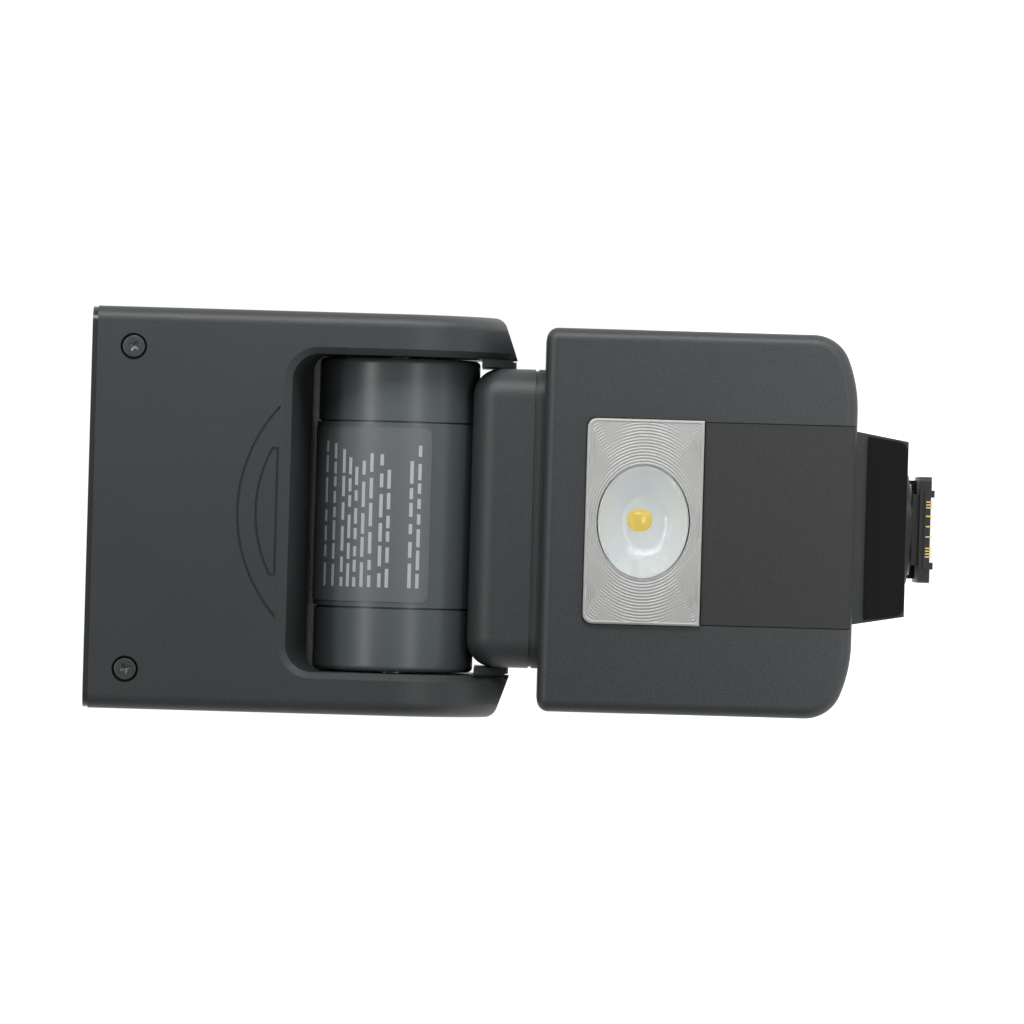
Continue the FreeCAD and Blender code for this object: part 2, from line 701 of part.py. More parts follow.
BUTTON_NAMES = ("mode_button", "timer_button", "zoom_button", "back_button")
for name, centre in zip(BUTTON_NAMES, BUTTON_PLACES):
    cap = box(f"{name}_cap", round_at(centre, "button_half_x"),
              ("flange_back - 0.5", "case_back + button_proud"),
              round_at("button_z", "button_half_z"))
    cap_round = rounded(f"{name}_round", cap, "small_round", lambda edge: runs_along(edge, "y"))
    flange = box(f"{name}_flange", round_at(centre, "button_half_x + 0.8"), ("flange_front", "flange_back"),
                 round_at("button_z", "button_half_z + 0.8"))
    finish(name, fuse(name, cap_round, flange))

test_cap = rod("test_cap", "y", "test_round", ("flange_back - 0.5", "case_back + button_proud"),
               ("test_x", "wheel_z"))
test_flange = rod("test_flange", "y", "test_round + 0.8", ("flange_front", "flange_back"),
                  ("test_x", "wheel_z"))
finish("test_button", fuse("test_button", test_cap, test_flange))
switch_knob = box("switch_knob", ("switch_low_x", "switch_high_x"),
                  ("flange_back - 0.5", "case_back + button_proud"), round_at("wheel_z", "switch_half_z"))
switch_flange = box("switch_flange", ("switch_low_x - 1.2", "switch_high_x + 1.2"),
                    ("flange_front", "flange_back"), round_at("wheel_z", "switch_half_z + 1"))
finish("power_switch", fuse("power_switch", switch_knob, switch_flange))


# ---- collar and neck -------------------------------------------------------------------------

def neck_box(name, low, high, inset="0"):
    """The neck's plan, with its upright corners rounded, between two heights."""
    blank = box(name + "_blank", both(f"block_half - {inset}"),
                round_at("pivot_y", f"block_deep - {inset}"),
                (low, high))
    return rounded(name, blank, "block_round", lambda edge: runs_along(edge, "z"))


collar = fuse("collar", neck_box("collar_plate", "case_top", "collar_high"),
              neck_box("collar_step", "collar_high", "block_low - step_fit", "step_inset"))
collar_bore = rod("collar_bore", "z", "tube_round + fit", ("case_top - 1", "collar_high + 1"),
                  ("0", "pivot_y"))
finish("swivel_collar", cut("swivel_collar", collar, collar_bore))

drum_space = rod("drum_space", "x", "drum_round", both("block_half + 1"), ("pivot_y", "pivot_z"))
block = neck_box("block", "block_low", "block_high")
block_top = rounded("block_top", block, "fork_round", lambda edge: (
    runs_along(edge, "y") and middle(edge).z > SIZES["block_high"] - 0.1))
block_hollow = box("block_hollow", both("block_half - 3"), round_at("pivot_y", "block_deep - 3"),
                   ("block_low + wall", "block_high - 3"))
block_bore = rod("block_bore", "z", "tube_bore", ("block_low - 1", "block_high + 1"), ("0", "pivot_y"))
finish("neck_block", cut("neck_block", block_top, drum_space, block_hollow, block_bore))

swivel_outside = rod("swivel_outside", "z", "tube_round", ("tube_low", "block_low"), ("0", "pivot_y"))
swivel_inside = rod("swivel_inside", "z", "tube_bore", ("tube_low - 1", "block_low + 1"), ("0", "pivot_y"))
finish("swivel_tube", cut("swivel_tube", swivel_outside, swivel_inside))
keeper = rod("keeper", "z", "keeper_round", ("keeper_high - 2", "keeper_high"), ("0", "pivot_y"))
keeper_hole = rod("keeper_hole", "z", "tube_round", ("keeper_high - 3", "keeper_high + 1"),
                  ("0", "pivot_y"))
finish("swivel_retainer", cut("swivel_retainer", keeper, keeper_hole))


def along_pivot(name, radius, low, high):
    """A cylinder on the tilt axis."""
    return rod(name, "x", radius, (low, high), ("pivot_y", "pivot_z"))


drum_outside = along_pivot("drum_outside", "drum_round", "-drum_half", "drum_half")
drum_inside = along_pivot("drum_inside", "drum_bore", "-drum_half - 1", "drum_half + 1")
wire_way = box("wire_way", both("8"), round_at("pivot_y", "4"), ("pivot_z - drum_round - 1", "pivot_z - 8"))
finish("neck_barrel", cut("neck_barrel", drum_outside, drum_inside, wire_way))
sleeve_outside = along_pivot("sleeve_outside", "sleeve_round", "drum_half", "sleeve_half")
sleeve_edge = rounded("sleeve_edge", sleeve_outside, "small_round", lambda edge: (
    middle(edge).x > SIZES["sleeve_half"] - 0.1))
sleeve_inside = along_pivot("sleeve_inside", "drum_bore", "drum_half - 1", "sleeve_half - wall")
sleeve_hole = along_pivot("sleeve_hole", "shaft_round", "drum_half", "sleeve_half + 1")
seam_disc = along_pivot("seam_disc", "sleeve_round + 1", "drum_half - 1", "drum_half + seam_wide")
seam_plug = along_pivot("seam_plug", "sleeve_round - seam_deep", "drum_half - 2", "drum_half + 2")
seam_line = cut("seam_line", seam_disc, seam_plug)
finish("barrel_sleeves",
       with_twin("barrel_sleeves", cut("sleeve", sleeve_edge, sleeve_inside, sleeve_hole, seam_line)))
shaft_outside = along_pivot("shaft_outside", "shaft_round", "sleeve_half - 2 * wall", "shaft_end")
shaft_inside = along_pivot("shaft_inside", "shaft_bore", "drum_half", "shaft_end + 1")
finish("pivot_shafts", with_twin("pivot_shafts", cut("shaft", shaft_outside, shaft_inside)))

label_skin = along_pivot("label_skin", "drum_round + 0.12", "-15.1", "15.1")
label_under = along_pivot("label_under", "drum_round", "-drum_half", "drum_half")
label_window = box("label_window", both("15.1"), ("pivot_y - 2 * drum_round", "pivot_y"),
                   ("pivot_z - 6", "pivot_z + drum_round"))
finish("rating_label", common("rating_label", cut("label_ring", label_skin, label_under), label_window))


# ---- head ------------------------------------------------------------------------------------

def head_form():
    """The outer shape of the head: a flat block whose lower end is round about the tilt axis."""
    block = box("head_block", both("head_half"), round_at("pivot_y", "head_deep"), ("pivot_z", "head_end"))
    end = along_pivot("head_round_end", "head_deep", "-head_half", "head_half")
    tip = prism("tip_wedge", "XZ_Plane", [
        ("fork_half", "pivot_z - head_deep - 1"),
        ("head_half + 1", "pivot_z - head_deep - 1"),
        ("head_half + 1", "pivot_z - head_deep + tip_rise"),
        ("fork_half", "pivot_z - head_deep"),
    ], "3 * head_deep")
    form = cut("head_tapered", fuse("head_blank", block, end), with_twin("tip_wedges", tip))
    side, top = SIZES["head_half"], SIZES["head_end"]
    return rounded("head_form", form, "head_edge", lambda edge: (
        abs(middle(edge).x) > side - 0.1 and middle(edge).z < top - 1))


def fork_tools():
    """The space between the fork's arms, where the neck sits and the head swings over it."""
    gate = prism("fork_gate", "YZ_Plane", [
        ("pivot_y - head_deep - 5", "pivot_z - 25"),
        ("pivot_y + head_deep + 5", "pivot_z - 25"),
        ("pivot_y + head_deep + 5", "pivot_z + fork_back_rise"),
        ("pivot_y", "pivot_z + fork_back_rise"),
        ("pivot_y", "pivot_z + fork_root_rise"),
        ("pivot_y - head_deep", "pivot_z + fork_front_rise"),
        ("pivot_y - head_deep - 5", "pivot_z + fork_front_rise + 0.75"),
    ], "2 * fork_half")
    high = SIZES["pivot_z"] + SIZES["fork_root_rise"]
    round_edges(gate, "gate_rounds", "fork_round", lambda edge: (
        abs(middle(edge).x) > SIZES["fork_half"] - 0.1 and middle(edge).z > high
        and abs(middle(edge).y - SIZES["pivot_y"]) > 2 and middle(edge).z < high + 3))
    return [gate, along_pivot("fork_drum", "drum_clear", "-fork_half", "fork_half")]


def groove(name, radius, half="40"):
    """A fine arc-shaped groove in the head's front, round the tilt axis seen from the front."""
    ends = ("pivot_y - head_deep - 1", "pivot_y - head_deep + groove_deep")
    centre = ("0", "pivot_z")
    disc = rod(name + "_disc", "y", radius, ends, centre)
    plug = rod(name + "_plug", "y", f"{radius} - groove_wide", ends, centre)
    ring = cut(name + "_ring", disc, plug)
    return common(name, ring, box(name + "_span", both(half), ends, ("groove_base", "2 * pivot_z")))


def crescent_sides():
    """The straight side and the two short ends of the inner crescent."""
    depth = ("pivot_y - head_deep - 1", "pivot_y - head_deep + groove_deep")
    rise = ("groove_base", "groove_base + crescent_end")
    return [box("crescent_base", both("crescent_half"), depth, ("groove_base", "groove_base + groove_wide")),
            box("crescent_right", ("crescent_half - groove_wide", "crescent_half"), depth, rise),
            box("crescent_left", ("-crescent_half", "groove_wide - crescent_half"), depth, rise)]


def screw_seats(name, radius, ends):
    """The places of the two screws at the window end of the head."""
    return [rod(f"{name}_{side}", "y", radius, ends, (f"{sign}screw_x", "screw_z"))
            for side, sign in (("right", ""), ("left", "-"))]


head_hollow = rounded("head_hollow",
                      box("head_core", both("hollow_half"), round_at("pivot_y", "hollow_deep"),
                                         ("hollow_low", "head_end + 1")), "hollow_round",
                      lambda edge: runs_along(edge, "z"))
back_pocket = box("back_pocket", both("fork_half - wall"), ("pivot_y + 10", "pivot_y + hollow_deep"),
                  ("pivot_z + 14", "hollow_low + 1"))
shaft_bore = along_pivot("arm_bore", "shaft_round + fit", "-shaft_end - 0.3", "shaft_end + 0.3")
head_shell = cut("head_shell", head_form(), head_hollow, back_pocket, shaft_bore, *fork_tools())
lower_space = box("lower_space", both("50"), ("pivot_y - 50", "pivot_y"), ("0", "2 * pivot_z"))
upper_space = box("upper_space", both("50"), ("pivot_y", "pivot_y + 50"), ("0", "2 * pivot_z"))
front_ends = ("pivot_y - head_deep - 1", "pivot_y - head_deep + 1.3")
through_ends = ("pivot_y - head_deep - 1", "pivot_y - head_deep + 4")
lower_half = common("head_lower_half", head_shell, lower_space)
lower_lip = rounded("head_lower_lip", lower_half, "fork_lip", lambda edge: (
    middle(edge).z < SIZES["pivot_z"] + SIZES["fork_front_rise"] + 1
    and abs(middle(edge).x) < SIZES["fork_half"] + 0.1
    and middle(edge).y < SIZES["pivot_y"] - SIZES["head_deep"] + 0.1), kind="Part::Chamfer")
finish("head_bottom_cover", cut("head_bottom_cover", lower_lip,
                                groove("groove_outer", "groove_round"),
                                groove("groove_crescent", "groove_inner", "crescent_half"),
                                *crescent_sides(), *screw_seats("screw_sink", "screw_sink", front_ends),
                                *screw_seats("screw_hole", "screw_shank", through_ends)))
posts = [rod(f"post_{side}", "y", "screw_shank + 0.9", ("pivot_y + 1", "pivot_y + hollow_deep + 1"),
             (f"{sign}screw_x", "screw_z")) for side, sign in (("right", ""), ("left", "-"))]
finish("head_top_cover", cut("head_top_cover", fuse("head_upper_solid",
                             common("head_upper_half", head_shell, upper_space), *posts),
                             *screw_seats("post_hole", "screw_shank", ("pivot_y - 1", "pivot_y + 10"))))
# a lip on the inside of each arm's end closes the space beside the neck block
lip_plate = along_pivot("lip_plate", "lip_round", "block_half + lip_gap", "fork_half - lip_line")
lip_foot = along_pivot("lip_foot", "lip_round - 2 * lip_line", "fork_half - 2 * lip_line", "fork_half")
lip_space = box("lip_space", both("50"), both("50"), ("0", "pivot_z - sleeve_round - lip_line"))
lip_solid = fuse("lip_solid", lip_plate, lip_foot)
finish("arm_lips", with_twin("arm_lips", common("arm_lip", lip_solid, lip_space)))
head_screws = []
for side, sign in (("right", ""), ("left", "-")):
    place = (f"{sign}screw_x", "screw_z")
    cap = rod(f"screw_cap_{side}", "y", "screw_head",
              ("pivot_y - head_deep + 0.35", "pivot_y - head_deep + 1.3"),
              place)
    shank = rod(f"screw_shank_{side}", "y", "screw_shank", ("pivot_y - head_deep + 1.3", "pivot_y + 9"),
                place)
    head_screws.append(fuse(f"head_screw_{side}", cap, shank))
finish("head_screws", bundle("head_screws", *head_screws))


# ---- window end ------------------------------------------------------------------------------

bezel_blank = box("bezel_blank", both("hollow_half"), round_at("pivot_y", "hollow_deep"),
                  ("bezel_low", "head_end"))
bezel_plug = rounded("bezel_plug", bezel_blank, "hollow_round", lambda edge: runs_along(edge, "z"))
bezel_lip = box("bezel_lip", both("head_half - bezel_step"), round_at("pivot_y", "head_deep - bezel_step"),
                ("head_end", "bezel_high"))
bezel_lip_round = rounded("bezel_lip_round", bezel_lip, "hollow_round", lambda edge: runs_along(edge, "z"))
window_hole = box("window_hole", both("window_half"),
                  ("pivot_y - window_deep - 3", "pivot_y + window_deep"),
                  ("bezel_low - 1", "bezel_high + 1"))
sheet_slot = box("sheet_slot", both("slot_half"), ("pivot_y + slot_low", "pivot_y + slot_high"),
                 ("bezel_low - 1", "bezel_high + 1"))
finish("window_bezel", cut("window_bezel", fuse("bezel_solid", bezel_plug, bezel_lip_round), window_hole,
                           sheet_slot))
pane = box("pane", both("window_half"), ("pivot_y - window_deep - 3", "pivot_y + window_deep"),
           ("bezel_high - 2", "bezel_high + 0.2"))
finish("flash_window", pane)


# ---- zoom unit and the pull-out panels -------------------------------------------------------

carriage_plate = box("carriage_plate", both("31.2"), round_at("pivot_y", "mirror_deep + 1.5"),
                     ("plate_low", "plate_high"))
nut_hole = rod("nut_hole", "z", "lead_round + fit", ("plate_low - 1", "plate_high + 1"),
               ("screw_axis_x", "screw_axis_y"))
slide_hole = rod("slide_hole", "z", "rod_round + fit", ("plate_low - 1", "plate_high + 1"),
                 ("-screw_axis_x", "screw_axis_y"))
finish("zoom_carriage", cut("zoom_carriage", carriage_plate, nut_hole, slide_hole))
mirror_block = box("mirror_block", both("mirror_half"), round_at("pivot_y", "mirror_deep"),
                   ("plate_high", "mirror_high"))
mirror_bowl = doc.addObject("Part::Wedge", "mirror_bowl")
for prop, expression in (("Xmin", "-(mirror_half - 1)"), ("Xmax", "mirror_half - 1"),
                         ("X2min", "-(mirror_half - 5)"), ("X2max", "mirror_half - 5"),
                         ("Zmin", "-(mirror_deep - 1)"), ("Zmax", "mirror_deep - 1"),
                         ("Z2min", "-2.6"), ("Z2max", "2.6"),
                         ("Ymin", "0"), ("Ymax", "mirror_high - plate_high - 1.5"),
                         ("Placement.Base.y", "pivot_y"), ("Placement.Base.z", "mirror_high")):
    bind(mirror_bowl, prop, expression)
mirror_bowl.Placement.Rotation = FreeCAD.Rotation(Vector(1, 0, 0), -90)
finish("reflector", cut("reflector", mirror_block, mirror_bowl))
finish("flash_tube", rod("flash_tube", "x", "tube_radius", both("mirror_half - 5.5"),
                         ("pivot_y", "plate_high + 3.6")))

finish("lead_screw", rod("lead_screw", "z", "lead_round", ("motor_low + 6.2", "lead_high"),
                         ("screw_axis_x", "screw_axis_y")))
motor_can = rod("motor_can", "z", "motor_round", ("motor_low", "motor_low + 3.8"),
                ("screw_axis_x", "screw_axis_y"))
finish("zoom_motor", motor_can)
bracket = box("bracket", ("22", "32.3"), ("pivot_y - hollow_deep + 3.6", "-10"),
              ("motor_low + 3.8", "motor_low + 4.8"))
bracket_hole = rod("bracket_hole", "z", "lead_round + fit", ("motor_low", "motor_low + 6"),
                   ("screw_axis_x", "screw_axis_y"))
finish("motor_bracket", cut("motor_bracket", bracket, bracket_hole))
finish("guide_rod",
       rod("guide_rod", "z", "rod_round", ("hollow_low", "lead_high"), ("-screw_axis_x", "screw_axis_y")))
finish("trigger_coil", rod("trigger_coil", "x", "2.2", ("-24", "-12"), ("-12", "hollow_low + 2.4")))

finish("wide_panel", box("wide_panel", both("sheet_half"), ("pivot_y + 15", "pivot_y + 15.9"),
                         ("sheet_low", "sheet_high")))
finish("bounce_card", box("bounce_card", both("sheet_half"), ("pivot_y + 16.6", "pivot_y + 17.4"),
                          ("sheet_low", "sheet_high")))


# ---- checks and export -----------------------------------------------------------------------

doc.recompute()
for made in doc.Objects:
    if "Invalid" in made.State or "Error" in made.State:
        raise RuntimeError(f"{made.Name} failed: {made.State}")
os.makedirs("parts", exist_ok=True)
for name, made in parts.items():
    shape = made.Shape
    if shape.isNull() or not shape.isValid() or not shape.Solids:
        raise RuntimeError(f"{name} has no valid solid")
    shape.exportStep(f"parts/{name}.step")
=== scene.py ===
import math
import random

import bmesh
import bpy
from mathutils import Matrix, Vector


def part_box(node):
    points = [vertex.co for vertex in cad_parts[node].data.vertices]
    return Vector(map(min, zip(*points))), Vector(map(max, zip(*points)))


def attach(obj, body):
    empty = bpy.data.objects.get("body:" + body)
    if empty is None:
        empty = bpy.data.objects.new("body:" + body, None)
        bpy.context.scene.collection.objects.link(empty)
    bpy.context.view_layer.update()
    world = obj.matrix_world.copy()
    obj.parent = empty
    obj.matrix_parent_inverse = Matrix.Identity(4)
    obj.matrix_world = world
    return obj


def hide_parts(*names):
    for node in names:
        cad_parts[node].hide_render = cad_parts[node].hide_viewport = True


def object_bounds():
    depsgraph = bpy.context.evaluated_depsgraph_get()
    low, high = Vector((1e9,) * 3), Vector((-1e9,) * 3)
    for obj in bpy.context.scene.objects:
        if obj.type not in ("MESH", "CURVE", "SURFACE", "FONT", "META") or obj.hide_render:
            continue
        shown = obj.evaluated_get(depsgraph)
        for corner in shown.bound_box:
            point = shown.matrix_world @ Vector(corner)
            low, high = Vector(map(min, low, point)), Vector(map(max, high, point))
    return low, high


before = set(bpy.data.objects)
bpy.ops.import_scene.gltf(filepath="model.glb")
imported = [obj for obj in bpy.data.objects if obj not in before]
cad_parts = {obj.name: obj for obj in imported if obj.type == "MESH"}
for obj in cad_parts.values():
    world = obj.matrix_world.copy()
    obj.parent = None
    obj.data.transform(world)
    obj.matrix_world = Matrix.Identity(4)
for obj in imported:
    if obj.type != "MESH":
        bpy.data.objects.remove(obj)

# The looks of a compact speedlight flash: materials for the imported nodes, and fine pieces that
# stand for the nodes whose surface needs more than its solid. Lengths are metres, +Z is up from
# the foot to the head, and the side with the LED light faces -Y.

MM = 0.001
cad_low, cad_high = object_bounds()
random.seed(7)


# ---- materials -------------------------------------------------------------------------------

class Recipe:
    """A material being built: its shader, its nodes and the object's own coordinates."""

    def __init__(self, name, colour, roughness):
        self.material = bpy.data.materials.new(name)
        self.material.use_nodes = True
        self.nodes = self.material.node_tree.nodes
        self.links = self.material.node_tree.links
        self.shader = self.nodes["Principled BSDF"]
        self.shader.inputs["Base Color"].default_value = (*colour, 1.0)
        self.shader.inputs["Roughness"].default_value = roughness
        self.place = self.nodes.new("ShaderNodeTexCoord").outputs["Object"]

    def set(self, **values):
        """Sets plain numbers on the shader: words joined by _ name its sockets."""
        for words, value in values.items():
            self.shader.inputs[words.replace("_", " ")].default_value = value
        return self

    def noise(self, size_mm, detail=2.0, stretch=(1.0, 1.0, 1.0)):
        """A noise whose features are about size_mm across, times stretch along each axis."""
        mapping = self.nodes.new("ShaderNodeMapping")
        mapping.inputs["Scale"].default_value = [1.0 / part for part in stretch]
        texture = self.nodes.new("ShaderNodeTexNoise")
        texture.inputs["Scale"].default_value = 1.0 / (size_mm * MM)
        texture.inputs["Detail"].default_value = detail
        self.links.new(self.place, mapping.inputs["Vector"])
        self.links.new(mapping.outputs["Vector"], texture.inputs["Vector"])
        return texture.outputs["Fac"]

    def spread(self, source, low, high, start=0.3, end=0.7):
        """Turns a 0 to 1 pattern into a number between low and high."""
        ramp = self.nodes.new("ShaderNodeMapRange")
        for socket, value in (("From Min", start), ("From Max", end), ("To Min", low), ("To Max", high)):
            ramp.inputs[socket].default_value = value
        self.links.new(source, ramp.inputs["Value"])
        return ramp.outputs["Result"]

    def blend(self, source, first, second):
        """A colour between first and second, by a pattern."""
        mix = self.nodes.new("ShaderNodeMix")
        mix.data_type = "RGBA"
        mix.inputs["A"].default_value = (*first, 1.0)
        mix.inputs["B"].default_value = (*second, 1.0)
        self.links.new(source, mix.inputs["Factor"])
        return mix.outputs["Result"]

    def colour(self, output):
        self.links.new(output, self.shader.inputs["Base Color"])

    def roughness(self, output):
        self.links.new(output, self.shader.inputs["Roughness"])

    def bump(self, output, depth_mm, strength=1.0):
        bump = self.nodes.new("ShaderNodeBump")
        bump.inputs["Strength"].default_value = strength
        bump.inputs["Distance"].default_value = depth_mm * MM
        self.links.new(output, bump.inputs["Height"])
        self.links.new(bump.outputs["Normal"], self.shader.inputs["Normal"])


def shade(colour, factor):
    return [channel * factor for channel in colour]


def grained_plastic(name, colour, roughness, grain_mm, depth_mm, contrast=0.12):
    """Moulded plastic with a spark-eroded grain and faint cloudy handling marks."""
    recipe = Recipe(name, colour, roughness)
    grain = recipe.noise(grain_mm, detail=3.0)
    clouds = recipe.noise(14.0, detail=3.0)
    tone = recipe.spread(grain, 0.0, 1.0)
    recipe.colour(recipe.blend(tone, shade(colour, 1 - contrast), shade(colour, 1 + contrast)))
    recipe.roughness(recipe.spread(clouds, roughness - 0.015, roughness + 0.02))
    recipe.bump(grain, depth_mm)
    recipe.set(Specular_IOR_Level=0.5)
    return recipe.material


def glossy_plastic(name, colour, roughness, coat=0.6, painted_glow=0.0):
    """Polished plastic with a very faint orange-peel wave and a few fine dust specks; its glow strength
    gives a faint painted glow in its own colour, painted light that brightens it.
    """
    recipe = Recipe(name, colour, roughness)
    wave = recipe.noise(3.0, detail=2.0)
    dust = recipe.noise(0.25, detail=4.0)
    recipe.roughness(recipe.spread(dust, roughness, roughness + 0.10, 0.55, 0.8))
    recipe.colour(recipe.blend(recipe.spread(dust, 0.0, 1.0, 0.72, 0.8), colour,
                               [channel + 0.03 for channel in colour]))
    recipe.bump(wave, 0.01, 0.3)
    # The emission is painted light: a glow in the plastic's own colour, though the part is no lamp.
    recipe.set(Coat_Weight=coat, Coat_Roughness=0.04, Specular_IOR_Level=0.35,
               Emission_Color=(*colour, 1.0), Emission_Strength=painted_glow)
    return recipe.material


def metal(name, colour, roughness, grain_mm=0.12, along=(1.0, 1.0, 14.0)):
    """Bare metal with fine marks drawn out along one axis."""
    recipe = Recipe(name, colour, roughness)
    marks = recipe.noise(grain_mm, detail=3.0, stretch=along)
    recipe.colour(recipe.blend(recipe.spread(marks, 0.0, 1.0), shade(colour, 0.88), colour))
    recipe.roughness(recipe.spread(marks, roughness - 0.05, roughness + 0.10))
    recipe.bump(marks, 0.006, 0.5)
    recipe.set(Metallic=1.0)
    return recipe.material


def clear_plastic(name, tint, roughness, scratches_mm=1.2, passes=1.0):
    """Clear moulded plastic with faint flow marks; passes is the share of light that goes through."""
    recipe = Recipe(name, tint, roughness)
    flow = recipe.noise(scratches_mm, detail=3.0)
    recipe.roughness(recipe.spread(flow, roughness, roughness + 0.05))
    recipe.bump(flow, 0.008, 0.3)
    recipe.set(Transmission_Weight=passes, IOR=1.45)
    return recipe.material


def board(name):
    """Circuit board: green resist over copper runs."""
    recipe = Recipe(name, (0.02, 0.16, 0.07), 0.35)
    runs = recipe.noise(1.6, detail=0.0, stretch=(6.0, 1.0, 1.0))
    tracks = recipe.spread(runs, 0.0, 1.0, 0.5, 0.53)
    recipe.colour(recipe.blend(tracks, (0.01, 0.10, 0.045), (0.03, 0.22, 0.09)))
    recipe.bump(runs, 0.03)
    return recipe.material


CASE = (0.0215, 0.0250, 0.0262)
MATERIALS = {
    "case": grained_plastic("case_plastic", CASE, 0.46, 0.30, 0.034, 0.2),
    "collar": grained_plastic("collar_plastic", shade(CASE, 0.8), 0.5, 0.22, 0.015),
    # The barrel is the case plastic made three times lighter: painted light standing in for the light the
    # drum catches.
    "barrel": grained_plastic("barrel_plastic_painted_light", shade(CASE, 3.0), 0.34, 0.2, 0.008, 0.06),
    "panel": grained_plastic("panel_plastic", (0.0125, 0.0128, 0.0138), 0.58, 0.26, 0.03, 0.25),
    "label": grained_plastic("label_film", (0.090, 0.098, 0.102), 0.42, 0.5, 0.003, 0.04),
    "button": grained_plastic("button_plastic", (0.022, 0.023, 0.024), 0.42, 0.16, 0.008, 0.1),
    "foot": grained_plastic("foot_black", (0.020, 0.021, 0.022), 0.34, 0.14, 0.010, 0.15),
    "gloss": glossy_plastic("dark_gloss", (0.003, 0.003, 0.0035), 0.05, 0.15),
    "bezel": glossy_plastic("bezel_gloss", (0.020, 0.021, 0.022), 0.2, 0.3),
    "white": glossy_plastic("white_plastic", (0.78, 0.79, 0.79), 0.3, 0.2),
    # The white bowl glows faintly: painted light that stands in for the light the clear window keeps from
    # it.
    "bowl": glossy_plastic("bowl_white", (0.74, 0.79, 0.81), 0.18, 0.5, painted_glow=0.24),
    # The chip's faint glow is painted light as well: it brightens the phosphor's yellow in its own colour.
    "chip": glossy_plastic("chip_phosphor", (0.83, 0.60, 0.10), 0.18, 0.8, painted_glow=0.35),
    "screw": metal("screw_black", (0.105, 0.111, 0.114), 0.36, 0.2, (1.0, 1.0, 1.0)),
    "steel": metal("bright_steel", (0.62, 0.62, 0.60), 0.25),
    "alloy": metal("alloy", (0.70, 0.71, 0.72), 0.35),
    "gold": metal("gold_plate", (0.95, 0.66, 0.24), 0.18),
    "mirror": metal("mirror_coat", (0.92, 0.92, 0.92), 0.08),
    "flash_clear": clear_plastic("flash_clear", (0.96, 0.97, 0.97), 0.06),
    "lamp_clear": clear_plastic("lamp_clear", (0.93, 0.93, 0.92), 0.04),
    "quartz": clear_plastic("quartz", (0.97, 0.98, 0.98), 0.02),
    "ribbed": clear_plastic("ribbed_clear", (0.41, 0.41, 0.398), 0.22, 0.6, passes=0.12),
    "print": grained_plastic("print_ink", (0.34, 0.36, 0.37), 0.5, 0.3, 0.002, 0.03),
    "lcd_ink": grained_plastic("lcd_ink", (0.36, 0.38, 0.37), 0.4, 0.3, 0.002, 0.03),
    "sleeve": glossy_plastic("capacitor_sleeve", (0.012, 0.012, 0.016), 0.3, 0.2),
    "cell": glossy_plastic("cell_wrap", (0.60, 0.61, 0.60), 0.3, 0.4),
    "board": board("board_green"),
}
NODE_LOOKS = {
    "case": ("front_casing", "rear_casing", "chin_casing", "battery_door", "neck_block",
             "head_bottom_cover", "head_top_cover", "arm_lips"),
    "collar": ("swivel_collar", "swivel_tube"),
    "barrel": ("neck_barrel", "barrel_sleeves"),
    "panel": ("front_panel",),
    "label": ("rating_label",),
    "button": ("control_wheel", "centre_button", "mode_button", "timer_button", "zoom_button",
               "back_button", "test_button", "power_switch", "battery_tray", "zoom_carriage"),
    "foot": ("foot_rail", "foot_lock_lever", "contact_block"),
    "gloss": ("sensor_window", "lcd_window", "lcd_module"),
    "bezel": ("window_bezel",),
    "white": ("led_reflector", "bounce_card"),
    "chip": ("led_chip",),
    "screw": ("head_screws",),
    "steel": ("door_hinge_pin", "foot_lock_pin", "foot_screws", "battery_contacts", "door_contacts",
              "pivot_shafts", "swivel_retainer", "lead_screw", "zoom_motor", "motor_bracket", "guide_rod"),
    "alloy": ("led_heatsink",),
    "gold": ("contact_pins",),
    "mirror": ("reflector",),
    "flash_clear": ("flash_window", "wide_panel"),
    "lamp_clear": ("led_window",),
    "quartz": ("flash_tube",),
    "sleeve": ("main_capacitor", "trigger_coil"),
    "cell": ("aa_cells",),
    "board": ("led_board", "sensor_board", "main_board", "control_board"),
}
for look, nodes in NODE_LOOKS.items():
    for node in nodes:
        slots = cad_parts[node].material_slots
        for place in slots:
            place.material = MATERIALS[look]


# ---- setting: floor, light and camera --------------------------------------------------------

def floor():
    """A wide pale floor under the foot; it starts near the LED side, so gloss there doesn't mirror it."""
    size = 3.0
    start = cad_low.y - 30 * MM
    mesh = bpy.data.meshes.new("floor")
    corners = [(-size, start, 0), (size, start, 0), (size, size, 0), (-size, size, 0)]
    mesh.from_pydata(corners, [], [(0, 1, 2, 3)])
    piece = bpy.data.objects.new("floor", mesh)
    bpy.context.scene.collection.objects.link(piece)
    recipe = Recipe("floor_white", (0.90, 0.90, 0.90), 0.7)
    recipe.colour(recipe.blend(recipe.noise(400.0), (0.40, 0.40, 0.40), (0.42, 0.42, 0.42)))
    recipe.set(Emission_Color=(1.0, 1.0, 1.0, 1.0), Emission_Strength=1.0)
    mesh.materials.append(recipe.material)
    piece.location.z = -0.2 * MM


def soft_box(name, place, width, height, power):
    """An area light that looks at the middle of the flash."""
    data = bpy.data.lights.new(name, "AREA")
    data.shape = "RECTANGLE"
    data.size = width
    data.size_y = height
    data.energy = power
    lamp = bpy.data.objects.new(name, data)
    lamp.location = place
    lamp.rotation_euler = (MIDDLE - Vector(place)).to_track_quat("-Z", "Y").to_euler()
    bpy.context.scene.collection.objects.link(lamp)


